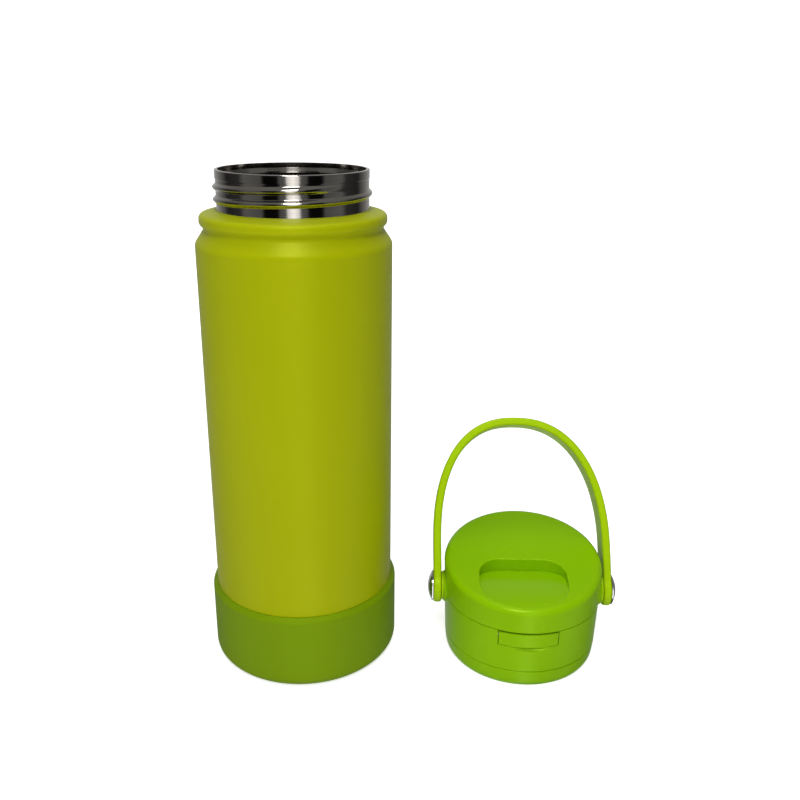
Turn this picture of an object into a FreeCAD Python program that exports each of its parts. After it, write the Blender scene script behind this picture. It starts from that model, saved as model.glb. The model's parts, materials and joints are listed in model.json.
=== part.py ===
import FreeCAD, Part
import math
import os

# Vacuum flask with a threaded steel neck, a silicone boot and a flip-top lid with a strap handle.
# Millimetres, +Z up. The origin is the centre of the flask's base, on the surface it stands on.
# The lid stands on that same surface beside the flask, with its latch facing -Y.

V = FreeCAD.Vector
X_AXIS = V(1, 0, 0)
Z_AXIS = V(0, 0, 1)

# ---- Driving dimensions -------------------------------------------------------------------

# Flask
BODY_R = 36.5            # outer radius of the painted body
SHEET = 0.6              # thickness of every pressed steel sheet
RIM_Z = 198.2            # top of the neck
COLLAR_Z = 184.0         # where the painted collar meets the bare neck
NECK_R = 28.1            # outer radius of the neck's rim band
BEAD_R = 34.6            # rolled bead around the collar
GROOVE_R = 32.9          # groove under the bead
SHOULDER_Z = 172.0       # where the body starts to draw in
GROOVE_Z = 177.3
BEAD_LOW = 179.2
BEAD_HIGH = 182.4
CUP_TOP = 12.0           # seam between the body tube and the base cup
BASE_RECESS = 1.4        # how far the middle of the base cup is pushed in
RECESS_EDGE_R = 23.0     # radius of that raised middle
PORT_R = 2.0             # evacuation hole
PORT_CAP_R = 3.0
PORT_CAP_H = 0.7
GETTER_R = 4.0
GETTER_H = 1.6
GETTER_X = 12.0
DISC_R = 22.0
DISC_H = 0.5
LINER_R = 33.4           # outer radius of the inner vessel
LINER_FLOOR = 8.0        # underside of the inner vessel
LINER_NECK_R = 26.9      # outer radius of the inner vessel's neck
LINER_SHOULDER = (172.5, 179.5)
LINER_FLARE = (194.6, 196.2)

# Rolled thread on the neck
THREAD_PITCH = 4.4
THREAD_ROOT_R = 27.95    # the neck's wall below the rim band
THREAD_TOP = 194.7       # top of that wall
THREAD_STEP = 0.65       # height of the small cone between it and the rim band
THREAD_CREST_R = 29.05
THREAD_HALF = 1.25       # half of its width at the root
THREAD_TURNS = 1.5
THREAD_Z = 186.8         # centre of the ridge where it starts
THREAD_START = 121.0     # direction in which it starts, from +X
FOOT = 0.25              # how deep a ridge is rooted in its wall

# Silicone boot
BOOT_R = 38.4
BOOT_FLOOR = 2.0
BOOT_LIP_Z = 32.1
BOOT_LIP_R = 36.9
BOOT_SIDE_Z = 30.3
BOOT_BORE_R = BODY_R + 0.02
BOOT_CORNER = 4.6
GRIP_GROOVES = (25.0, 29.0)
GRIP_HALF = 0.6
GRIP_DEPTH = 0.5

# Lid
LID_X = 92.2             # where the lid stands
LID_Y = -4.36
LID_YAW = -1.3           # degrees that the lid is turned about its own axis
LID_R = 31.55            # outer radius of the drafted side, extended to the surface
LID_DRAFT = 0.0333       # growth of that radius per millimetre of height
FOOT_R = 29.95           # outer radius of the ring that the lid stands on
TOP_Z = 41.7             # height of the sloped top on the lid's axis
TOP_SLOPE = 0.18         # rise of the top towards the hinge
TOP_ROUND = 2.8          # rounding of the top edge
BAND_Z = 7.4             # top of the threaded insert's visible band
BAND_GAP = 0.06          # half of the gap between that band and the lid body
SEAM_Z = 25.6            # parting line of the flip cover
SEAM_GAP = 0.1           # half of the gap at that line
SEAM_ROUND = 0.35        # rounding of the edges along both lines
WALL = 2.0
DECK_Z = 15.8            # underside of the deck, where the seal sits
DECK_TOP = 18.3
INSERT_BORE_R = 29.4     # bore of the threaded insert, around the neck's thread
INSERT_R = 30.3
INSERT_RIDGE_R = 28.65
INSERT_RIDGE_HALF = 1.05
INSERT_RIDGE_Z = 2.6
INSERT_TURNS = 1.25
CAVITY_R = 29.4          # inside of the lid body above the deck
ABOVE = 60.0             # a height above everything in the lid
BEYOND = 45.0            # a distance beyond everything in the lid

# Plug, foam and seal under the deck
PLUG_R = 25.6
PLUG_WALL = 1.2
PLUG_Z = 4.0
FOAM_GAP = 0.1
SEAL_IN = 25.8
SEAL_OUT = 29.2
SEAL_H = 1.7

# Finger recess in the cover
RECESS_X = -1.0
RECESS_HALF_X = 17.8
RECESS_BACK_Y = -2.0
RECESS_FRONT_Y = -29.0
RECESS_BACK_CORNER = 9.0
RECESS_FRONT_CORNER = 13.3
RECESS_FLOOR_R = 116.6   # the floor is slightly crowned and runs out into the top
RECESS_CROWN_Y = -18.6
RECESS_CROWN_Z = 37.1
RECESS_ROUND = 0.5       # rounding of its top edge

# Spout and stopper
SPOUT_Y = -14.0
CHANNEL_R = 5.2
SPOUT_FOOT_R = 10.0
SPOUT_FOOT_H = 1.6
SPOUT_R = 7.2
SPOUT_TOP = 29.0
STOPPER_R = 7.0
STOPPER_H = 1.3
STOPPER_GAP = 0.15       # between the stopper's flange and the spout
NOSE_R = CHANNEL_R - 0.4
NOSE_TIP_R = 4.4
NOSE_DEPTH = 2.0
STEM_R = 3.0
POST_R = 5.4             # post in the cover that holds the stopper's stem
POST_Z = SPOUT_TOP + 1.6
STEM_TOP = 33.0

# Hinge at the back of the lid
HINGE_Y = 33.9
HINGE_PIN_R = 1.2
HINGE_PIN_HALF = 9.8
KNUCKLE_R = 2.4
KNUCKLE_CLEAR = 0.4
KNUCKLE_BAY = 10.2       # half of the width cut clear for the knuckles
KNUCKLE_ROOT = 3.0       # how far an arm reaches into the wall
KNUCKLE_ARM = 5.0        # how far an arm reaches up or down
BODY_KNUCKLE = (6.2, 9.8)
COVER_KNUCKLE = (2.6, 6.0)

# Pull latch at the front of the lid
TAB_HALF_X = 11.7
TAB_LOW = 19.35
TAB_TOP = 25.1
TAB_GAP = 0.3
TAB_PROUD = 0.15         # how far the tab stands out of the side wall
LATCH_Y = -28.5
LATCH_Z = 23.0
LATCH_PIN_R = 0.7
LATCH_PIN_HALF = 12.5
LATCH_BARREL_R = 1.9
LUG = (12.05, 12.9)      # inner and outer side of a lug, from the middle
ARM_HALF = 5.0
ARM_TOP = 28.6
LEDGE_HALF = 5.5
LEDGE = (26.3, 27.2)
LEDGE_GAP = 0.2          # between the latch's nose and the cover's ledge
NOSE_LOW = 27.5
SCOOP_HALF = 20.0
SCOOP_DEPTH = 2.15
SCOOP_SET = 0.6          # how far the scoop's axis lies outside the wall

# Strap handle
PIVOT_Z = 26.8
STRAP_LEAN = 28.0        # degrees that the strap leans back from upright
STRAP_T = 3.3
STRAP_W = 11.7
STRAP_HALF = 35.6        # half the distance between the legs' centre lines
STRAP_LEG = 16.5         # straight part of a leg, from the pivot
STRAP_RISE = 53.8        # height of the arch above the straight legs
STRAP_POWER = 2.32       # squareness of the arch
STRAP_SWAY = -3.1        # sideways sway at a height of STRAP_SWAY_Z
STRAP_SWAY_Z = 75.0
STRAP_EDGE = 0.9
EYE_R = 6.9
EAR_HALF = 8.7           # ear that carries the pivot above the parting line
EAR_IN = 24.0
EAR_OUT = 40.0
EAR_WALL = 2.3
EAR_CLEAR = 0.25         # between the ear and the cover
BOSS_FACE = 33.0
BOSS_H = 2.0
BOSS_R = (7.6, 6.3)
INNER_BOSS_R = 4.4
INNER_BOSS = (26.8, 31.0)
HEAD_R = 6.4
HEAD_H = 2.3
HEAD_SPHERE_R = 12.0
SHANK_R = 2.0
TAIL_R = 1.5
TAIL_END = 27.5
SLEEVE_R = 2.6
FLANGE_R = 6.0
FLANGE_H = 0.7
FLANGE_GAP = 0.08
INSERT_SPAN = (27.0, 32.2)
RUNNING = 0.05           # radial clearance of every turning fit


# ---- Helpers ------------------------------------------------------------------------------

def corner_arc(before, corner, after, radius):
    """Start, middle and end of the arc that rounds one corner of an outline."""
    to_before = (before - corner).normalize()
    to_after = (after - corner).normalize()
    half = to_before.getAngle(to_after) / 2
    reach = radius / math.tan(half)
    bisector = (to_before + to_after).normalize()
    middle = corner + bisector * (radius / math.sin(half) - radius)
    return corner + to_before * reach, middle, corner + to_after * reach


def outline(points):
    """Closed wire in the XZ plane through (r, z) or (r, z, rounding) points."""
    spots = [V(p[0], 0, p[1]) for p in points]
    rounds = [p[2] if len(p) > 2 else 0 for p in points]
    count = len(points)
    joints = []
    for i in range(count):
        if rounds[i]:
            joints.append(corner_arc(spots[i - 1], spots[i], spots[(i + 1) % count], rounds[i]))
        else:
            joints.append((spots[i], None, spots[i]))
    edges = []
    for i in range(count):
        start, middle, end = joints[i]
        if middle is not None:
            edges.append(Part.Arc(start, middle, end).toShape())
        following = joints[(i + 1) % count][0]
        if end.distanceToPoint(following) > 1e-6:
            edges.append(Part.LineSegment(end, following).toShape())
    return Part.Wire(edges)


def turned(points):
    """Solid of revolution about Z from a closed (r, z, rounding) outline."""
    return Part.Face(outline(points)).revolve(V(0, 0, 0), Z_AXIS, 360)


def sheet_profile(points, thickness):
    """Closed outline of a sheet whose outer side runs through the given points.

    The sheet's inner side lies to the left of the direction of travel.
    """
    count = len(points)
    normals = []
    for i in range(count - 1):
        dr = points[i + 1][0] - points[i][0]
        dz = points[i + 1][1] - points[i][1]
        length = math.hypot(dr, dz)
        normals.append((-dz / length, dr / length))
    inner = []
    for i in range(count):
        first = normals[max(i - 1, 0)]
        second = normals[min(i, count - 2)]
        scale = thickness / (1 + first[0] * second[0] + first[1] * second[1])
        r = points[i][0] + (first[0] + second[0]) * scale
        z = points[i][1] + (first[1] + second[1]) * scale
        rounding = points[i][2] if len(points[i]) > 2 else 0
        if rounding:
            left_turn = first[0] * second[1] - first[1] * second[0] > 0
            rounding = max(rounding - thickness, 0.1) if left_turn else rounding + thickness
        inner.append((r, z, rounding))
    return list(points) + inner[::-1]


def disc(radius, z0, z1, x=0.0, y=0.0):
    """Cylinder along Z between two heights."""
    return Part.makeCylinder(radius, z1 - z0, V(x, y, z0))


def rod(radius, x0, x1, y, z):
    """Cylinder along X."""
    return Part.makeCylinder(radius, x1 - x0, V(x0, y, z), X_AXIS)


def block(x0, x1, y0, y1, z0, z1):
    return Part.makeBox(x1 - x0, y1 - y0, z1 - z0, V(x0, y0, z0))


def side_radius(z):
    """Outer radius of the lid's drafted side at a height."""
    return LID_R + LID_DRAFT * z


def lid_cone(inset, z0, z1):
    """Solid frustum that follows the lid's drafted side, set in by a distance."""
    return Part.makeCone(side_radius(z0) - inset, side_radius(z1) - inset, z1 - z0, V(0, 0, z0))


def prism_x(points, x0, x1):
    """Prism along X from a (y, z) polygon."""
    corners = [V(x0, y, z) for y, z in points]
    face = Part.Face(Part.makePolygon(corners + corners[:1]))
    return face.extrude(V(x1 - x0, 0, 0))


def lid_side(sign, shape):
    """The same shape on the left (-1) or right (+1) side of the lid."""
    return shape if sign > 0 else shape.mirror(V(0, 0, 0), X_AXIS)


def rim_edges(shape, z):
    """Outer edges that run round the lid's side at one height."""
    found = []
    for edge in shape.Edges:
        box = edge.BoundBox
        start = edge.Vertexes[0].Point
        level = abs(box.ZMin - z) < 0.01 and box.ZLength < 0.01
        outside = abs(math.hypot(start.x, start.y) - side_radius(z)) < 0.05
        if level and outside and edge.Length > 4.0:
            found.append(edge)
    return found


def helix_ridge(foot_r, crest_r, z_start, start_angle, turns, half_width):
    """Rounded right-handed ridge between two radii, turned to start in a direction."""
    helix = Part.makeHelix(THREAD_PITCH, THREAD_PITCH * turns, foot_r)
    foot_low = V(foot_r, 0, -half_width)
    foot_high = V(foot_r, 0, half_width)
    arc = Part.Arc(foot_low, V(crest_r, 0, 0), foot_high).toShape()
    back = Part.LineSegment(foot_high, foot_low).toShape()
    ridge = Part.Wire(helix).makePipeShell([Part.Wire([arc, back])], True, True)
    ridge.rotate(V(0, 0, 0), Z_AXIS, start_angle)
    ridge.translate(V(0, 0, z_start))
    return ridge


def torsion_spring(coil_r, wire_r, width, turns, leg, y, z):
    """Coil along X with a straight leg at each end, pointing up and down."""
    helix = Part.makeHelix(width / turns, width, coil_r)
    section = Part.Wire(Part.Circle(V(coil_r, 0, 0), V(0, 1, 0), wire_r).toShape())
    spring = Part.Wire(helix).makePipeShell([section], True, True)
    for end, way in ((V(coil_r, 0, 0), V(0, -1, 0)), (V(coil_r, 0, width), V(0, 1, 0))):
        spring = spring.fuse(Part.makeSphere(wire_r, end))
        spring = spring.fuse(Part.makeCylinder(wire_r, leg, end, way))
    spring.rotate(V(0, 0, 0), V(0, 1, 0), 90)
    spring.rotate(V(0, 0, 0), X_AXIS, 180)
    spring.translate(V(-width / 2, y, z))
    return spring


# ---- Flask --------------------------------------------------------------------------------

def outer_shell():
    """Painted body tube with a rounded shoulder, a groove and a rolled bead at the collar."""
    outside = [
        (BODY_R, CUP_TOP),
        (BODY_R, SHOULDER_Z, 3.6),
        (GROOVE_R, GROOVE_Z, 1.3),
        (BEAD_R, BEAD_LOW, 1.4),
        (BEAD_R, BEAD_HIGH, 1.9),
        (THREAD_ROOT_R, COLLAR_Z),
    ]
    return turned(sheet_profile(outside, SHEET)).cut(disc(THREAD_ROOT_R, BEAD_LOW, RIM_Z))


def threaded_neck():
    """Bare neck tube with the rolled thread; welded under the collar and at the rim."""
    bore = NECK_R - SHEET
    wall = turned([
        (bore, COLLAR_Z - 2.0),
        (THREAD_ROOT_R, COLLAR_Z - 2.0),
        (THREAD_ROOT_R, THREAD_TOP),
        (NECK_R, THREAD_TOP + THREAD_STEP),
        (NECK_R, RIM_Z, 0.45),
        (bore, RIM_Z),
    ])
    foot = THREAD_ROOT_R - FOOT
    return wall.fuse(helix_ridge(foot, THREAD_CREST_R, THREAD_Z, THREAD_START, THREAD_TURNS, THREAD_HALF))


def inner_liner():
    """Inner vessel with a rounded floor, a shoulder and the neck that ends at the rim."""
    outside = [
        (0, LINER_FLOOR),
        (LINER_R, LINER_FLOOR, 9.0),
        (LINER_R, LINER_SHOULDER[0], 5.0),
        (LINER_NECK_R, LINER_SHOULDER[1], 3.0),
        (LINER_NECK_R, LINER_FLARE[0], 1.5),
        (NECK_R - SHEET, LINER_FLARE[1], 1.0),
        (NECK_R - SHEET, RIM_Z),
    ]
    return turned(sheet_profile(outside, SHEET))


def base_cup():
    """Pressed bottom of the outer wall, with a raised middle and the evacuation hole."""
    floor = BOOT_FLOOR + BASE_RECESS
    outside = [
        (0, floor),
        (RECESS_EDGE_R, floor, 0.8),
        (RECESS_EDGE_R + 1.0, BOOT_FLOOR, 0.8),
        (BODY_R, BOOT_FLOOR, 4.0),
        (BODY_R, CUP_TOP),
    ]
    return turned(sheet_profile(outside, SHEET)).cut(disc(PORT_R, BOOT_FLOOR, CUP_TOP))


def port_seal():
    """Bead of solder glass that closes the evacuation hole."""
    outer_side = BOOT_FLOOR + BASE_RECESS
    inner_side = outer_side + SHEET
    return disc(PORT_R, outer_side, inner_side).fuse(disc(PORT_CAP_R, inner_side, inner_side + PORT_CAP_H))


def getter():
    """Gas-absorbing capsule on the base cup's inner side, in the vacuum space."""
    floor = BOOT_FLOOR + BASE_RECESS + SHEET
    return disc(GETTER_R, floor, floor + GETTER_H, GETTER_X)


def base_disc():
    """Thin cover disc glued over the evacuation hole."""
    under = BOOT_FLOOR + BASE_RECESS
    return disc(DISC_R, under - DISC_H, under)


def silicone_boot():
    """Silicone cup stretched over the bottom of the body, with grip grooves underneath."""
    cup = turned([
        (0, 0),
        (BOOT_R, 0, BOOT_CORNER),
        (BOOT_R, BOOT_SIDE_Z, 1.2),
        (BOOT_LIP_R, BOOT_LIP_Z, 0.4),
        (BOOT_BORE_R, BOOT_LIP_Z),
        (BOOT_BORE_R, BOOT_FLOOR, 4.0),
        (0, BOOT_FLOOR),
    ])
    for middle in GRIP_GROOVES:
        ring = disc(middle + GRIP_HALF, 0, GRIP_DEPTH).cut(disc(middle - GRIP_HALF, 0, GRIP_DEPTH))
        cup = cup.cut(ring)
    return cup


# ---- Lid, in its own frame: axis on Z, latch towards -Y -----------------------------------

def ear_outline(margin):
    """Round-topped outline of the ear around the handle's pivot, as a prism along X."""
    half = EAR_HALF + margin
    column = block(EAR_IN, EAR_OUT, -half, half, SEAM_Z - 1.0, PIVOT_Z)
    dome = rod(half, EAR_IN, EAR_OUT, 0, PIVOT_Z)
    cap = dome.common(block(EAR_IN, EAR_OUT, -half, half, SEAM_Z - 1.0, ABOVE))
    return column.fuse(cap).removeSplitter()


def hinge_knuckles(span, way):
    """Pair of hinge barrels with arms that join them to the wall above (1) or below (-1)."""
    root_y = HINGE_Y - KNUCKLE_ROOT
    pieces = []
    for sign in (-1, 1):
        barrel = rod(KNUCKLE_R, span[0], span[1], HINGE_Y, SEAM_Z)
        arm = prism_x([
            (root_y, SEAM_Z),
            (HINGE_Y + KNUCKLE_R * 0.75, SEAM_Z + way * KNUCKLE_R * 0.66),
            (HINGE_Y - KNUCKLE_ROOT / 2, SEAM_Z + way * KNUCKLE_ARM),
            (root_y, SEAM_Z + way * KNUCKLE_ARM),
        ], span[0], span[1])
        pieces.append(lid_side(sign, barrel.fuse(arm)))
    return pieces


def knuckle_bay():
    """Space that the turning knuckles need at the parting line."""
    return rod(KNUCKLE_R + KNUCKLE_CLEAR, -KNUCKLE_BAY, KNUCKLE_BAY, HINGE_Y, SEAM_Z)


def lid_body():
    """Drafted side wall and deck, with pivot ears, hinge knuckles and the latch window."""
    low = BAND_Z + BAND_GAP
    high = SEAM_Z - SEAM_GAP
    body = lid_cone(0, low, high)
    body = body.makeFillet(SEAM_ROUND, rim_edges(body, low) + rim_edges(body, high))
    body = body.cut(disc(INSERT_R, 0, DECK_Z))
    body = body.cut(disc(CAVITY_R, DECK_TOP, ABOVE))
    ear_wall = lid_cone(0, high - SEAM_ROUND, EAR_OUT).cut(lid_cone(EAR_WALL, 0, BEYOND))
    for sign in (-1, 1):
        ear = ear_wall.common(lid_side(sign, ear_outline(0)))
        inner_boss = lid_side(sign, rod(INNER_BOSS_R, INNER_BOSS[0], INNER_BOSS[1], 0, PIVOT_Z))
        foot = V(BOSS_FACE - BOSS_H, 0, PIVOT_Z)
        outer_boss = lid_side(sign, Part.makeCone(BOSS_R[0], BOSS_R[1], BOSS_H, foot, X_AXIS))
        body = body.fuse([ear, inner_boss, outer_boss])
    for sign in (-1, 1):
        body = body.cut(lid_side(sign, rod(SLEEVE_R, EAR_IN, INSERT_SPAN[1], 0, PIVOT_Z)))
        body = body.cut(lid_side(sign, rod(TAIL_R, EAR_IN, EAR_OUT, 0, PIVOT_Z)))
    body = body.cut(knuckle_bay())
    body = body.fuse(hinge_knuckles(BODY_KNUCKLE, -1))
    body = body.cut(rod(HINGE_PIN_R, -BEYOND, BEYOND, HINGE_Y, SEAM_Z))
    window = TAB_HALF_X + TAB_GAP
    body = body.cut(block(-window, window, -BEYOND, -CAVITY_R / 2, TAB_LOW - TAB_GAP, ABOVE))
    body = body.fuse(latch_lugs())
    body = body.cut(rod(LATCH_PIN_R, -LATCH_PIN_HALF, LATCH_PIN_HALF, LATCH_Y, LATCH_Z))
    body = body.cut(finger_scoop())
    return body.cut(disc(CHANNEL_R, DECK_Z - 1.0, ABOVE, 0, SPOUT_Y)).removeSplitter()


def latch_lugs():
    """Two upright lugs on the deck that hold the latch pin's ends."""
    lugs = []
    for sign in (-1, 1):
        lug = block(LUG[0], LUG[1], LATCH_Y - 1.6, LATCH_Y + 2.0, DECK_TOP - 0.5, LATCH_Z + 1.8)
        lugs.append(lid_side(sign, lug.common(lid_cone(SEAM_ROUND, 0, BEYOND))))
    return lugs


def finger_scoop():
    """Crescent hollow under the latch tab for a fingertip."""
    arc = Part.Arc(V(-SCOOP_HALF, 0, 0), V(0, 0, SCOOP_DEPTH), V(SCOOP_HALF, 0, 0)).toShape()
    chord = Part.LineSegment(V(SCOOP_HALF, 0, 0), V(-SCOOP_HALF, 0, 0)).toShape()
    spindle = Part.Face(Part.Wire([arc, chord])).revolve(V(0, 0, 0), X_AXIS, 360)
    spindle.translate(V(0, -side_radius(TAB_LOW) - SCOOP_SET, TAB_LOW))
    return spindle


def thread_insert():
    """Threaded ring that screws onto the neck; its flange is the lid's lowest band."""
    top = BAND_Z - BAND_GAP
    ring = turned([
        (INSERT_BORE_R, 0),
        (FOOT_R, 0, 0.3),
        (FOOT_R + 1.3, 1.9, 5.0),
        (side_radius(top), top, SEAM_ROUND),
        (INSERT_R, top),
        (INSERT_R, DECK_Z),
        (INSERT_BORE_R, DECK_Z),
    ])
    foot = INSERT_BORE_R + FOOT
    return ring.fuse(helix_ridge(foot, INSERT_RIDGE_R, INSERT_RIDGE_Z, 0, INSERT_TURNS, INSERT_RIDGE_HALF))


def plug_cup():
    """Insulated plug under the deck that reaches into the neck, with the drink channel."""
    floor = PLUG_Z + PLUG_WALL
    cup = disc(PLUG_R, PLUG_Z, DECK_Z).cut(disc(PLUG_R - PLUG_WALL, floor, DECK_Z))
    channel = disc(CHANNEL_R + PLUG_WALL, PLUG_Z, DECK_Z, 0, SPOUT_Y)
    return cup.fuse(channel).cut(disc(CHANNEL_R, 0, DECK_Z, 0, SPOUT_Y)).removeSplitter()


def foam_core():
    """Insulating foam inside the plug."""
    core = disc(PLUG_R - PLUG_WALL - FOAM_GAP, PLUG_Z + PLUG_WALL + FOAM_GAP, DECK_Z - FOAM_GAP)
    return core.cut(disc(CHANNEL_R + PLUG_WALL + FOAM_GAP, 0, DECK_Z, 0, SPOUT_Y))


def neck_seal():
    """Silicone ring between the rim and the deck."""
    return turned([
        (SEAL_IN, DECK_Z - SEAL_H, 0.5),
        (SEAL_OUT, DECK_Z - SEAL_H, 0.5),
        (SEAL_OUT, DECK_Z),
        (SEAL_IN, DECK_Z),
    ])


def spout():
    """Drinking spout that stands on the deck."""
    shoulder = DECK_TOP + SPOUT_FOOT_H
    return turned([
        (CHANNEL_R, DECK_TOP),
        (SPOUT_FOOT_R, DECK_TOP, 0.6),
        (SPOUT_FOOT_R, shoulder, 0.6),
        (SPOUT_R + 0.4, shoulder + 1.0, 1.0),
        (SPOUT_R, SPOUT_TOP, 0.9),
        (CHANNEL_R, SPOUT_TOP, 0.6),
    ]).translated(V(0, SPOUT_Y, 0))


def stopper():
    """Silicone stopper under the cover that closes the spout."""
    under = SPOUT_TOP + STOPPER_GAP
    flange = disc(STOPPER_R, under, under + STOPPER_H, 0, SPOUT_Y)
    nose = Part.makeCone(NOSE_TIP_R, NOSE_R, NOSE_DEPTH, V(0, SPOUT_Y, under - NOSE_DEPTH))
    stem = disc(STEM_R, under, STEM_TOP, 0, SPOUT_Y)
    return flange.fuse([nose, stem]).removeSplitter()


def under_slope(lower_by):
    """Everything below the sloped top, moved down by a distance."""
    middle = TOP_Z - lower_by * math.sqrt(1 + TOP_SLOPE ** 2)
    return prism_x([
        (-BEYOND, 0),
        (BEYOND, 0),
        (BEYOND, middle + TOP_SLOPE * BEYOND),
        (-BEYOND, middle - TOP_SLOPE * BEYOND),
    ], -BEYOND, BEYOND)


def recess_block(margin, drop):
    """Block that fills the finger recess, grown by a margin and sunk below its floor."""
    half = RECESS_HALF_X + margin
    front = RECESS_FRONT_Y - margin
    plan = block(RECESS_X - half, RECESS_X + half, front, RECESS_BACK_Y + margin, 0, ABOVE)
    uprights = [e for e in plan.Edges if e.BoundBox.ZLength > ABOVE / 2]
    plan = plan.makeFillet(RECESS_BACK_CORNER + margin, [e for e in uprights if e.BoundBox.YMin > front + 1])
    foremost = [e for e in plan.Edges if e.BoundBox.ZLength > ABOVE / 2 and e.BoundBox.YMax < front + 1]
    plan = plan.makeFillet(RECESS_FRONT_CORNER + margin, foremost)
    floor_z = RECESS_CROWN_Z - RECESS_FLOOR_R
    floor = rod(RECESS_FLOOR_R - drop, -BEYOND, BEYOND, RECESS_CROWN_Y, floor_z)
    return plan.cut(floor).cut(block(-BEYOND, BEYOND, -BEYOND, BEYOND, 0, SEAM_Z))


def on_top(edge):
    """Whether an edge lies in the sloped top, at the finger recess."""
    middle = edge.valueAt((edge.FirstParameter + edge.LastParameter) / 2)
    for spot in [v.Point for v in edge.Vertexes] + [middle]:
        if abs(spot.z - TOP_Z - TOP_SLOPE * spot.y) > 0.01:
            return False
        if abs(spot.x - RECESS_X) > RECESS_HALF_X + 0.1 or spot.y > 0:
            return False
    return True


def flip_cover():
    """Flip cover with a sloped top, a finger recess, hinge knuckles and a latch ledge."""
    low = SEAM_Z + SEAM_GAP
    shell = lid_cone(0, low, BEYOND + 10.0).common(under_slope(0))
    top_edges = [e for e in shell.Edges if e.BoundBox.ZMin > low + 3.0 and e.Length > 40]
    shell = shell.makeFillet(TOP_ROUND, top_edges)
    shell = shell.makeFillet(SEAM_ROUND, rim_edges(shell, low))
    shell = shell.cut(recess_block(0, 0))
    shell = shell.makeFillet(RECESS_ROUND, [e for e in shell.Edges if on_top(e)])
    cavity = lid_cone(WALL, low - 1.0, BEYOND + 10.0).common(under_slope(WALL))
    cavity = cavity.cut(recess_block(WALL, WALL))
    cavity = cavity.cut(disc(POST_R, POST_Z, ABOVE, 0, SPOUT_Y))
    shell = shell.cut(cavity)
    shell = shell.cut(disc(STEM_R, POST_Z - 1.0, STEM_TOP, 0, SPOUT_Y))
    for sign in (-1, 1):
        shell = shell.cut(lid_side(sign, ear_outline(EAR_CLEAR)))
    shell = shell.cut(knuckle_bay())
    shell = shell.fuse(hinge_knuckles(COVER_KNUCKLE, 1))
    shell = shell.cut(rod(HINGE_PIN_R + RUNNING, -BEYOND, BEYOND, HINGE_Y, SEAM_Z))
    ledge = block(-LEDGE_HALF, LEDGE_HALF, -side_radius(LEDGE[0]), LATCH_Y, LEDGE[0], LEDGE[1])
    return shell.fuse(ledge.common(lid_cone(1.0, 0, BEYOND))).removeSplitter()


def latch_tab():
    """Front tab that rocks on its pin; pulling its lower edge frees the cover."""
    skin = lid_cone(-TAB_PROUD, TAB_LOW, TAB_TOP).cut(lid_cone(WALL, 0, BEYOND))
    skin = skin.common(block(-TAB_HALF_X, TAB_HALF_X, -BEYOND, -CAVITY_R / 2, 0, ABOVE))
    barrel = rod(LATCH_BARREL_R, -TAB_HALF_X, TAB_HALF_X, LATCH_Y, LATCH_Z)
    web = block(-TAB_HALF_X, TAB_HALF_X, -CAVITY_R - 1.0, LATCH_Y, LATCH_Z - 1.5, LATCH_Z + 1.5)
    inside = lid_cone(SEAM_ROUND, 0, BEYOND)
    arm = block(-ARM_HALF, ARM_HALF, LATCH_Y + 0.6, LATCH_Y + 1.7, LATCH_Z, ARM_TOP)
    nose_tip = LATCH_Y + LEDGE_GAP
    nose = prism_x([
        (nose_tip + 0.6, NOSE_LOW),
        (nose_tip, NOSE_LOW),
        (nose_tip, NOSE_LOW + 0.3),
        (nose_tip + 0.6, ARM_TOP),
    ], -ARM_HALF, ARM_HALF)
    tab = skin.fuse([barrel.common(inside), web.common(inside), arm, nose])
    tab = tab.cut(rod(LATCH_PIN_R + RUNNING, -BEYOND, BEYOND, LATCH_Y, LATCH_Z))
    spring_bay = block(-2.3, 2.3, LATCH_Y - 1.6, LATCH_Y + 3.0, LATCH_Z - 2.6, LATCH_Z + 1.6)
    return tab.cut(spring_bay).removeSplitter()


# ---- Handle -------------------------------------------------------------------------------

def sway(z):
    """Sideways offset of the strap at a height above its pivot."""
    return STRAP_SWAY * (z / STRAP_SWAY_Z) ** 1.5


def arch_point(turn, offset):
    """Point of the strap's arch, a superellipse, pushed out from its centre line."""
    power = 2 / STRAP_POWER
    c = math.cos(turn)
    s = math.sin(turn)
    x = math.copysign(abs(c) ** power, c) * STRAP_HALF
    z = s ** power * STRAP_RISE
    nx = math.copysign(abs(x / STRAP_HALF) ** (STRAP_POWER - 1), x) / STRAP_HALF
    nz = (z / STRAP_RISE) ** (STRAP_POWER - 1) / STRAP_RISE
    length = math.hypot(nx, nz)
    x += offset * nx / length
    z += offset * nz / length + STRAP_LEG
    return V(x + sway(z), 0, z)


def strap_side(offset):
    """One side of the strap, from the right pivot over the crown to the left pivot."""
    arch_steps = 24
    leg_steps = 3
    x = STRAP_HALF + offset
    heights = [STRAP_LEG * i / leg_steps for i in range(leg_steps)]
    points = [V(x + sway(z), 0, z) for z in heights]
    points += [arch_point(math.pi * i / arch_steps, offset) for i in range(arch_steps + 1)]
    points += [V(-x + sway(z), 0, z) for z in reversed(heights)]
    curve = Part.BSplineCurve()
    curve.interpolate(points)
    return curve


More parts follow.
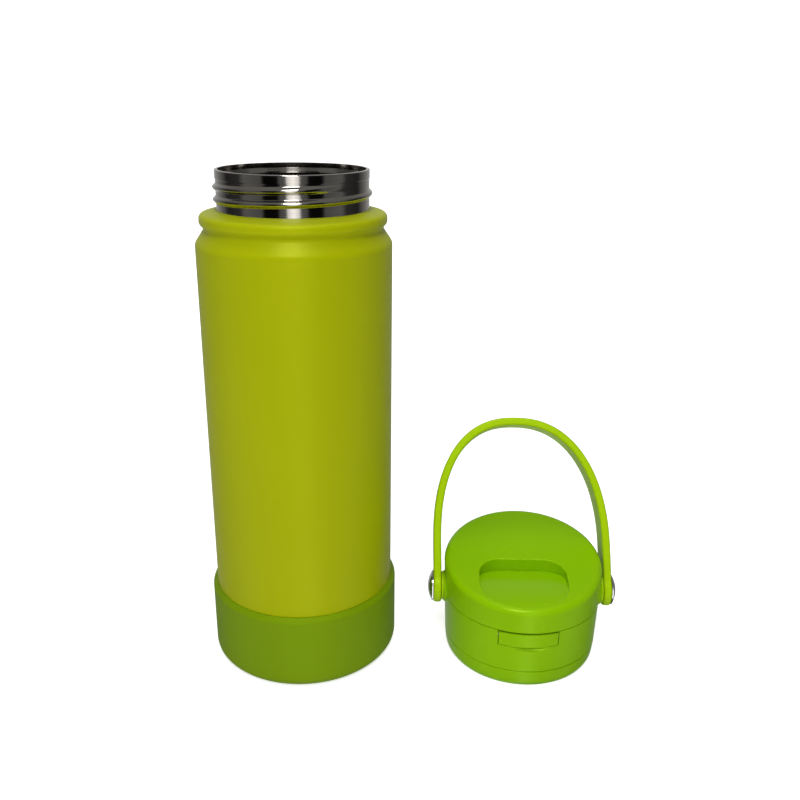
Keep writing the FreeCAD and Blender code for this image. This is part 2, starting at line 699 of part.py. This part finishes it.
def strap():
    """Flexible strap: one flat band with an eye at each end, leaning back."""
    outer = strap_side(STRAP_T / 2)
    inner = strap_side(-STRAP_T / 2)
    ends = [
        Part.LineSegment(outer.StartPoint, inner.StartPoint).toShape(),
        Part.LineSegment(outer.EndPoint, inner.EndPoint).toShape(),
    ]
    face = Part.Face(Part.Wire(Part.__sortEdges__([outer.toShape(), inner.toShape()] + ends)))
    face.translate(V(0, -STRAP_W / 2, 0))
    band = face.extrude(V(0, STRAP_W, 0))
    band = band.makeFillet(STRAP_EDGE, [e for e in band.Edges if e.Length > 100])
    for sign in (-1, 1):
        eye = rod(EYE_R, STRAP_HALF - STRAP_T / 2, STRAP_HALF + STRAP_T / 2, 0, 0)
        circles = [e for e in eye.Edges if abs(e.Length - 2 * math.pi * EYE_R) < 1]
        band = band.fuse(lid_side(sign, eye.makeFillet(STRAP_EDGE, circles)))
    band = band.cut(rod(SLEEVE_R + RUNNING, -BEYOND, BEYOND, 0, 0))
    band.rotate(V(0, 0, 0), X_AXIS, -STRAP_LEAN)
    band.translate(V(0, 0, PIVOT_Z))
    return band


def strap_bush():
    """Flanged sleeve between the strap's eye and the pivot screw."""
    inner = BOSS_FACE + FLANGE_GAP
    flange = rod(FLANGE_R, inner, inner + FLANGE_H, 0, PIVOT_Z)
    sleeve = rod(SLEEVE_R, inner, STRAP_HALF + STRAP_T / 2 + RUNNING, 0, PIVOT_Z)
    return flange.fuse(sleeve).cut(rod(SHANK_R + RUNNING, 0, BEYOND, 0, PIVOT_Z)).removeSplitter()


def pivot_screw():
    """Shoulder screw with a low domed head."""
    seat = STRAP_HALF + STRAP_T / 2 + 3 * RUNNING
    sphere = Part.makeSphere(HEAD_SPHERE_R, V(seat + HEAD_H - HEAD_SPHERE_R, 0, PIVOT_Z))
    head = sphere.common(rod(HEAD_R, seat, BEYOND, 0, PIVOT_Z))
    shank = rod(SHANK_R, BOSS_FACE, seat, 0, PIVOT_Z)
    tail = rod(TAIL_R, TAIL_END, BOSS_FACE, 0, PIVOT_Z)
    return head.fuse([shank, tail]).removeSplitter()


def screw_insert():
    """Brass insert moulded into the ear for the pivot screw."""
    sleeve = rod(SLEEVE_R, INSERT_SPAN[0], INSERT_SPAN[1], 0, PIVOT_Z)
    return sleeve.cut(rod(TAIL_R, 0, BEYOND, 0, PIVOT_Z))


# ---- Pieces -------------------------------------------------------------------------------

FLASK = {
    "outer_shell": outer_shell(),
    "threaded_neck": threaded_neck(),
    "inner_liner": inner_liner(),
    "base_cup": base_cup(),
    "base_disc": base_disc(),
    "port_seal": port_seal(),
    "getter": getter(),
    "silicone_boot": silicone_boot(),
}

LID = {
    "lid_body": lid_body(),
    "thread_insert": thread_insert(),
    "plug_cup": plug_cup(),
    "foam_core": foam_core(),
    "neck_seal": neck_seal(),
    "spout": spout(),
    "stopper": stopper(),
    "flip_cover": flip_cover(),
    "hinge_pin": rod(HINGE_PIN_R, -HINGE_PIN_HALF, HINGE_PIN_HALF, HINGE_Y, SEAM_Z),
    "hinge_spring": torsion_spring(1.75, 0.3, 4.0, 5, 2.0, HINGE_Y, SEAM_Z),
    "latch_tab": latch_tab(),
    "latch_pin": rod(LATCH_PIN_R, -LATCH_PIN_HALF, LATCH_PIN_HALF, LATCH_Y, LATCH_Z),
    "latch_spring": torsion_spring(1.15, 0.2, 3.6, 6, 1.2, LATCH_Y, LATCH_Z),
    "strap_handle": strap(),
}
for side, sign in (("left", -1), ("right", 1)):
    LID["strap_bush_" + side] = lid_side(sign, strap_bush())
    LID["pivot_screw_" + side] = lid_side(sign, pivot_screw())
    LID["screw_insert_" + side] = lid_side(sign, screw_insert())

for shape in LID.values():
    shape.rotate(V(0, 0, 0), Z_AXIS, LID_YAW)
    shape.translate(V(LID_X, LID_Y, 0))

os.makedirs("parts", exist_ok=True)
for name, shape in list(FLASK.items()) + list(LID.items()):
    shape.exportStep("parts/" + name + ".step")
    print("%-20s valid %s solids %d volume %.1f" % (name, shape.isValid(), len(shape.Solids), shape.Volume))
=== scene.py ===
import json
import math

import bpy
from mathutils import Matrix, Vector


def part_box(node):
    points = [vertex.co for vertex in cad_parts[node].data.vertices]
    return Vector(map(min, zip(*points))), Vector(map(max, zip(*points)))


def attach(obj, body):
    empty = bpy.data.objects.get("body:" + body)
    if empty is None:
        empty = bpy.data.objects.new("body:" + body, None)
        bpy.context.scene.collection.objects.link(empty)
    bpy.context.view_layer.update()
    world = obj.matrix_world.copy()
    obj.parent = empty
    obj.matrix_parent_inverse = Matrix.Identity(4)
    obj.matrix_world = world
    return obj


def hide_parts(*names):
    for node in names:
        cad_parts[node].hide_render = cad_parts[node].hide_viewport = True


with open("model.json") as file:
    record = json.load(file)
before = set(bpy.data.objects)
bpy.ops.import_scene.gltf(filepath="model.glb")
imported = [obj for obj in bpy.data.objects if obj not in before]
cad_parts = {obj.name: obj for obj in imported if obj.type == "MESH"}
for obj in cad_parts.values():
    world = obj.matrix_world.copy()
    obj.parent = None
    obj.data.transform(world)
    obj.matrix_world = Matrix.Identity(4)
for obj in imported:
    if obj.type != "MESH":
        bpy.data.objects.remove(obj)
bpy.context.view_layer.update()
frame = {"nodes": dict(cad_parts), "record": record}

MM = 0.001

# ---- Camera -------------------------------------------------------------------------------

CAMERA_PLACE = Vector((39.9, -323.1, 225.3)) * MM
CAMERA_PITCH = 0.345          # radians below the horizon
CAMERA_ROLL = 0.010           # radians, right side up
FOCAL_LENGTH = 38.81
SENSOR_WIDTH = 36.0
CLIP_NEAR, CLIP_FAR = 0.01, 20.0


def add_camera():
    data = bpy.data.cameras.new("camera")
    data.lens = FOCAL_LENGTH
    data.sensor_width = SENSOR_WIDTH
    data.clip_start = CLIP_NEAR
    data.clip_end = CLIP_FAR
    camera = bpy.data.objects.new("camera", data)
    tilt = Matrix.Rotation(math.pi / 2 - CAMERA_PITCH, 4, "X")
    roll = Matrix.Rotation(CAMERA_ROLL, 4, "Z")
    camera.matrix_world = Matrix.Translation(CAMERA_PLACE) @ tilt @ roll
    bpy.context.scene.collection.objects.link(camera)
    bpy.context.scene.camera = camera


# ---- Node helpers -------------------------------------------------------------------------

NOISE_LOW, NOISE_HIGH = 0.3, 0.7      # the part of a noise's range that is spread over a ramp


class Material:
    """A node material with a Principled shader, and short calls to add procedural detail."""

    def __init__(self, name, **settings):
        self.material = bpy.data.materials.new(name)
        self.material.use_nodes = True
        self.nodes = self.material.node_tree.nodes
        self.links = self.material.node_tree.links
        self.shader = self.nodes["Principled BSDF"]
        for socket, value in settings.items():
            self.shader.inputs[socket.replace("_", " ")].default_value = value
        self.place = self.nodes.new("ShaderNodeTexCoord").outputs["Object"]
        self.height = None

    def stretched(self, scale):
        mapping = self.nodes.new("ShaderNodeMapping")
        mapping.inputs["Scale"].default_value = scale
        self.links.new(self.place, mapping.inputs["Vector"])
        return mapping.outputs["Vector"]

    def noise(self, scale, detail, roughness=0.5, stretch=(1, 1, 1)):
        node = self.nodes.new("ShaderNodeTexNoise")
        node.inputs["Scale"].default_value = scale
        node.inputs["Detail"].default_value = detail
        node.inputs["Roughness"].default_value = roughness
        self.links.new(self.stretched(stretch), node.inputs["Vector"])
        return node.outputs["Fac"]

    def ramp(self, value, low, high, out_low, out_high):
        node = self.nodes.new("ShaderNodeMapRange")
        node.inputs["From Min"].default_value = low
        node.inputs["From Max"].default_value = high
        node.inputs["To Min"].default_value = out_low
        node.inputs["To Max"].default_value = out_high
        self.links.new(value, node.inputs["Value"])
        return node.outputs["Result"]

    def color_between(self, value, first, second):
        node = self.nodes.new("ShaderNodeValToRGB")
        node.color_ramp.elements[0].position = NOISE_LOW
        node.color_ramp.elements[0].color = (*first, 1.0)
        node.color_ramp.elements[1].position = NOISE_HIGH
        node.color_ramp.elements[1].color = (*second, 1.0)
        self.links.new(value, node.inputs["Fac"])
        self.links.new(node.outputs["Color"], self.shader.inputs["Base Color"])

    def roughness_between(self, value, first, second):
        spread = self.ramp(value, NOISE_LOW, NOISE_HIGH, first, second)
        self.links.new(spread, self.shader.inputs["Roughness"])

    def bump(self, value, strength, distance):
        node = self.nodes.new("ShaderNodeBump")
        node.inputs["Strength"].default_value = strength
        node.inputs["Distance"].default_value = distance
        self.links.new(value, node.inputs["Height"])
        if self.height is not None:
            self.links.new(self.height, node.inputs["Normal"])
        self.height = node.outputs["Normal"]
        self.links.new(self.height, self.shader.inputs["Normal"])


# ---- Materials ----------------------------------------------------------------------------

YELLOW_GLOSS = (0.90, 1.0, 0.12, 1.0)      # tint of the gloss on pigmented paint and plastic
GREEN_GLOSS = (0.75, 1.0, 0.12, 1.0)
MOTTLE = 0.92                 # darkest tone of a plain part, against its colour
ROUGHNESS_SPREAD = (0.9, 1.15)


def powder_coat():
    m = Material("powder_coat", Specular_Tint=YELLOW_GLOSS)
    m.color_between(m.noise(9.0, 2.0), (0.345, 0.39, 0.0), (0.375, 0.42, 0.001))
    m.roughness_between(m.noise(60.0, 3.0), 0.36, 0.43)
    m.bump(m.noise(1500.0, 2.0), 0.12, 0.00008)
    m.bump(m.noise(420.0, 2.0), 0.08, 0.0002)
    return m.material


def polished_steel():
    m = Material("polished_steel", Metallic=1.0)
    lines = m.noise(60.0, 4.0, 0.7, stretch=(1, 1, 60))
    m.color_between(lines, (0.47, 0.44, 0.40), (0.55, 0.52, 0.48))
    m.roughness_between(lines, 0.06, 0.12)
    m.bump(lines, 0.04, 0.0001)
    return m.material


def brushed_steel():
    m = Material("brushed_steel", Metallic=1.0)
    lines = m.noise(90.0, 4.0, 0.7, stretch=(1, 1, 40))
    m.color_between(lines, (0.50, 0.50, 0.49), (0.60, 0.60, 0.59))
    m.roughness_between(lines, 0.24, 0.38)
    m.bump(lines, 0.10, 0.0001)
    return m.material


def boot_silicone():
    m = Material("boot_silicone", Specular_Tint=GREEN_GLOSS)
    m.color_between(m.noise(14.0, 3.0), (0.155, 0.265, 0.0), (0.175, 0.29, 0.001))
    m.roughness_between(m.noise(80.0, 3.0), 0.52, 0.64)
    m.bump(m.noise(2200.0, 2.0), 0.18, 0.00006)
    return m.material


def lid_plastic():
    m = Material("lid_plastic", Specular_Tint=GREEN_GLOSS)
    m.color_between(m.noise(18.0, 2.0), (0.215, 0.455, 0.0), (0.235, 0.48, 0.001))
    m.roughness_between(m.noise(30.0, 2.0), 0.27, 0.31)
    return m.material


def strap_plastic():
    m = Material("strap_plastic", Specular_Tint=GREEN_GLOSS)
    m.color_between(m.noise(20.0, 2.0), (0.33, 0.53, 0.001), (0.37, 0.57, 0.002))
    m.roughness_between(m.noise(90.0, 3.0), 0.38, 0.48)
    m.bump(m.noise(1200.0, 2.0), 0.10, 0.00006)
    return m.material


def chrome():
    m = Material("chrome", Metallic=1.0)
    turned = m.noise(150.0, 3.0)
    m.color_between(turned, (0.74, 0.74, 0.74), (0.80, 0.80, 0.80))
    m.roughness_between(turned, 0.05, 0.10)
    return m.material


def plain(name, color, roughness, metallic=0.0):
    """Unpainted part with a slight mottle, for pieces that are seen little or not at all."""
    m = Material(name, Metallic=metallic)
    darker = tuple(MOTTLE * c for c in color)
    m.color_between(m.noise(25.0, 3.0), darker, color)
    smooth, rough = ROUGHNESS_SPREAD
    m.roughness_between(m.noise(120.0, 3.0), roughness * smooth, min(roughness * rough, 1.0))
    m.bump(m.noise(400.0, 2.0), 0.10, 0.0001)
    return m.material


def make_materials():
    return {
        "powder_coat": powder_coat(),
        "polished_steel": polished_steel(),
        "brushed_steel": brushed_steel(),
        "solder_glass": plain("solder_glass", (0.12, 0.15, 0.17), 0.2),
        "getter_alloy": plain("getter_alloy", (0.3, 0.3, 0.31), 0.6, 1.0),
        "boot_silicone": boot_silicone(),
        "lid_plastic": lid_plastic(),
        "plug_plastic": plain("plug_plastic", (0.75, 0.75, 0.72), 0.45),
        "foam": plain("foam", (0.85, 0.85, 0.82), 0.9),
        "seal_silicone": plain("seal_silicone", (0.72, 0.72, 0.69), 0.5),
        "strap_plastic": strap_plastic(),
        "chrome": chrome(),
        "pin_steel": plain("pin_steel", (0.55, 0.55, 0.56), 0.3, 1.0),
        "brass": plain("brass", (0.7, 0.5, 0.2), 0.3, 1.0),
    }


def dress_nodes(materials):
    """Gives every carried-over CAD node the material of its slot in the record."""
    slot_of = {s["node"]: s["material_slot"] for s in frame["record"]["subparts"]}
    for node, obj in frame["nodes"].items():
        obj.data.materials.clear()
        obj.data.materials.append(materials[slot_of[node]])


# ---- Neck ---------------------------------------------------------------------------------

NECK_R = 28.1 * MM            # plain band under the rim
ROOT_R = 27.95 * MM           # wall below that band and between the ridges
CREST_R = 29.05 * MM
CREST_POINT = 1.3             # above 1, the ridge's crown is narrower than a cosine
THREAD_PITCH = 4.4 * MM
THREAD_HALF = 1.45 * MM       # half of a ridge's width
THREAD_Z = 186.8 * MM         # where the ridge starts
THREAD_START = math.radians(121.0)
THREAD_TURNS = 1.5
RUN_OUT = 0.10                # turns over which the ridge fades at each end
ROLLED_TOP = 195.35 * MM      # the wall steps out to the plain band here
ROLLED_STEP = 0.65 * MM
NECK_WALL = 0.6 * MM
RIM_ROUND = 0.3 * MM
RIM_STEPS = 8
NECK_SEGMENTS = 288
NECK_STEP = 0.16 * MM


def ease(value):
    """Smooth step from 0 to 1."""
    value = min(max(value, 0.0), 1.0)
    return value * value * (3.0 - 2.0 * value)


def neck_radius(angle, z):
    """Outer radius of the rolled neck in one direction and at one height."""
    into = ease((ROLLED_TOP - z) / ROLLED_STEP)
    radius = NECK_R + (ROOT_R - NECK_R) * into
    first = ((angle - THREAD_START) / (2 * math.pi)) % 1.0
    for turn in (first - 1.0, first, first + 1.0):
        if not -RUN_OUT < turn < THREAD_TURNS + RUN_OUT:
            continue
        off = abs(z - THREAD_Z - THREAD_PITCH * turn) / THREAD_HALF
        if off >= 1.0:
            continue
        fade = ease((turn + RUN_OUT) / (2 * RUN_OUT))
        fade *= ease((THREAD_TURNS + RUN_OUT - turn) / (2 * RUN_OUT))
        crown = math.cos(off * math.pi / 2) ** CREST_POINT
        radius = max(radius, ROOT_R + (CREST_R - ROOT_R) * crown * fade)
    return radius


def add_neck(material):
    """Rolled neck with a thread that rises from the wall and fades back into it."""
    low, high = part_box("threaded_neck")
    bottom, top = low[2], high[2]
    shoulder = top - RIM_ROUND
    steps = int((shoulder - bottom) / NECK_STEP)
    rows = []
    for i in range(steps + 1):
        z = bottom + (shoulder - bottom) * i / steps
        rows.append((z, None))
    middle = NECK_R - RIM_ROUND
    for i in range(1, RIM_STEPS + 1):
        turn = math.pi * i / RIM_STEPS
        rows.append((shoulder + RIM_ROUND * math.sin(turn), middle + RIM_ROUND * math.cos(turn)))
    rows.append((bottom, NECK_R - NECK_WALL))
    verts = []
    for z, radius in rows:
        for k in range(NECK_SEGMENTS):
            angle = 2 * math.pi * k / NECK_SEGMENTS
            r = neck_radius(angle, z) if radius is None else radius
            verts.append((r * math.cos(angle), r * math.sin(angle), z))
    faces = []
    count = len(rows)
    for i in range(count):
        here = i * NECK_SEGMENTS
        above = ((i + 1) % count) * NECK_SEGMENTS
        for k in range(NECK_SEGMENTS):
            n = (k + 1) % NECK_SEGMENTS
            faces.append((here + k, here + n, above + n, above + k))
    neck = add_mesh("neck_rolled", verts, faces, material)
    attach(neck, "flask")
    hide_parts("threaded_neck")


def add_mesh(name, verts, faces, material):
    mesh = bpy.data.meshes.new(name)
    mesh.from_pydata(verts, [], faces)
    mesh.polygons.foreach_set("use_smooth", [True] * len(faces))
    mesh.materials.append(material)
    mesh.update()
    piece = bpy.data.objects.new(name, mesh)
    bpy.context.scene.collection.objects.link(piece)
    return piece


# ---- Stage --------------------------------------------------------------------------------

WHITE = (1.0, 1.0, 1.0, 1.0)
FLOOR_HALF = 6.0
FLOOR_LIGHT = 0.12            # what the floor adds to matte surfaces
FLOOR_NEAR, FLOOR_FAR = 0.25, 0.60
FLOOR_SEEN_NEAR = 0.68        # leaves a faint shadow beside the object
FLOOR_SEEN_FAR = 1.2          # keeps the floor white up to the horizon
WORLD_LIGHT = 0.17            # what the surroundings add to matte surfaces
WORLD_SEEN = 1.1              # keeps the background white
# What polished surfaces see, by direction from the front (0) round to the back (1)
SURROUNDINGS = [
    (0.000, 0.90), (0.045, 0.60), (0.060, 0.07), (0.110, 0.05), (0.125, 0.002), (0.240, 0.002),
    (0.265, 0.055), (0.42, 0.075), (0.47, 0.02), (0.62, 0.012), (0.80, 0.15), (1.0, 0.30),
]
OVERHEAD = (0.09, 0.09, 0.085, 1.0)
OVERHEAD_FROM, OVERHEAD_FULL = 0.25, 0.75      # upward part of a direction
GLOSS_LIGHT = 2.0             # strength of those surroundings
FRONT_TURN = 0.12             # radians from -Y to the middle of that front, towards +X


def add_floor():
    half = FLOOR_HALF
    corners = [(-half, -half, 0), (half, -half, 0), (half, half, 0), (-half, half, 0)]
    m = Material("floor", Roughness=1.0, Specular_IOR_Level=0.0)
    m.color_between(m.noise(3.0, 2.0), (0.79, 0.79, 0.79), (0.81, 0.81, 0.81))
    m.shader.inputs["Emission Color"].default_value = WHITE
    away = m.nodes.new("ShaderNodeVectorMath")
    away.operation = "LENGTH"
    m.links.new(m.place, away.inputs[0])
    seen = m.ramp(away.outputs["Value"], FLOOR_NEAR, FLOOR_FAR, FLOOR_SEEN_NEAR, FLOOR_SEEN_FAR)
    strength = m.nodes.new("ShaderNodeMix")
    strength.inputs["A"].default_value = FLOOR_LIGHT
    m.links.new(m.nodes.new("ShaderNodeLightPath").outputs["Is Camera Ray"], strength.inputs["Factor"])
    m.links.new(seen, strength.inputs["B"])
    m.links.new(strength.outputs["Result"], m.shader.inputs["Emission Strength"])
    floor = add_mesh("floor", corners, [(0, 1, 2, 3)], m.material)
    floor.visible_glossy = False


# name, place, target, size, power in watts, whether polished surfaces reflect it
LIGHTS = [
    ("key", (0.02, -0.62, 0.95), (0.03, 0, 0.08), (0.30, 0.30), 4.9, True),
    ("top", (0.0, 0.10, 1.2), (0.03, 0, 0.05), (0.7, 0.7), 6.0, False),
    ("low", (0.02, -0.55, 0.10), (0.04, 0, 0.03), (0.6, 0.12), 0.75, False),
    ("left", (-0.9, -0.45, 0.35), (0.0, 0, 0.08), (0.5, 0.5), 0.8, False),
]


def area_light(name, place, target, size, power, glossy):
    data = bpy.data.lights.new(name, "AREA")
    data.shape = "RECTANGLE"
    data.size, data.size_y = size
    data.energy = power
    lamp = bpy.data.objects.new(name, data)
    lamp.location = place
    lamp.rotation_euler = (Vector(target) - Vector(place)).to_track_quat("-Z", "Y").to_euler()
    lamp.visible_glossy = glossy
    bpy.context.scene.collection.objects.link(lamp)


def add_world():
    """White background, soft light for matte surfaces, and banded surroundings for polished ones."""
    world = bpy.data.worlds.new("world")
    world.use_nodes = True
    tree = world.node_tree
    tree.nodes.clear()
    link = tree.links.new

    def node(kind, **settings):
        made = tree.nodes.new(kind)
        for key, value in settings.items():
            setattr(made, key, value)
        return made

    def maths(operation, *operands):
        made = node("ShaderNodeMath", operation=operation)
        for socket, value in zip(made.inputs, operands):
            if isinstance(value, (int, float)):
                socket.default_value = value
            else:
                link(value, socket)
        return made.outputs[0]

    direction = node("ShaderNodeSeparateXYZ")
    link(node("ShaderNodeTexCoord").outputs["Generated"], direction.inputs[0])
    x, y, z = direction.outputs
    turn = maths("ARCTAN2", x, maths("MULTIPLY", y, -1.0))
    share = maths("DIVIDE", maths("ABSOLUTE", maths("SUBTRACT", turn, FRONT_TURN)), math.pi)
    ramp = node("ShaderNodeValToRGB")
    elements = ramp.color_ramp.elements
    for i, (place, level) in enumerate(SURROUNDINGS):
        element = elements[i] if i < 2 else elements.new(place)
        element.position = place
        element.color = (level, level, level, 1.0)
    link(share, ramp.inputs["Fac"])
    upward = node("ShaderNodeMapRange")
    upward.inputs["From Min"].default_value = OVERHEAD_FROM
    upward.inputs["From Max"].default_value = OVERHEAD_FULL
    link(z, upward.inputs["Value"])
    seen = node("ShaderNodeMix", data_type="RGBA")
    link(upward.outputs["Result"], seen.inputs["Factor"])
    link(ramp.outputs["Color"], seen.inputs["A"])
    seen.inputs["B"].default_value = OVERHEAD
    reflected = node("ShaderNodeBackground")
    link(seen.outputs["Result"], reflected.inputs["Color"])
    reflected.inputs["Strength"].default_value = GLOSS_LIGHT
    soft = node("ShaderNodeBackground")
    soft.inputs["Strength"].default_value = WORLD_LIGHT
    white = node("ShaderNodeBackground")
    white.inputs["Strength"].default_value = WORLD_SEEN
    soft.inputs["Color"].default_value = WHITE
    white.inputs["Color"].default_value = WHITE
    path = node("ShaderNodeLightPath")
    first = node("ShaderNodeMixShader")
    link(path.outputs["Is Glossy Ray"], first.inputs[0])
    link(soft.outputs[0], first.inputs[1])
    link(reflected.outputs[0], first.inputs[2])
    second = node("ShaderNodeMixShader")
    link(path.outputs["Is Camera Ray"], second.inputs[0])
    link(first.outputs[0], second.inputs[1])
    link(white.outputs[0], second.inputs[2])
    link(second.outputs[0], node("ShaderNodeOutputWorld").inputs["Surface"])
    bpy.context.scene.world = world


def add_lights():
    add_world()
    bpy.context.scene.view_settings.view_transform = "Standard"
    for light in LIGHTS:
        area_light(*light)


add_camera()
MATERIALS = make_materials()
dress_nodes(MATERIALS)
add_neck(MATERIALS["polished_steel"])
add_floor()
add_lights()
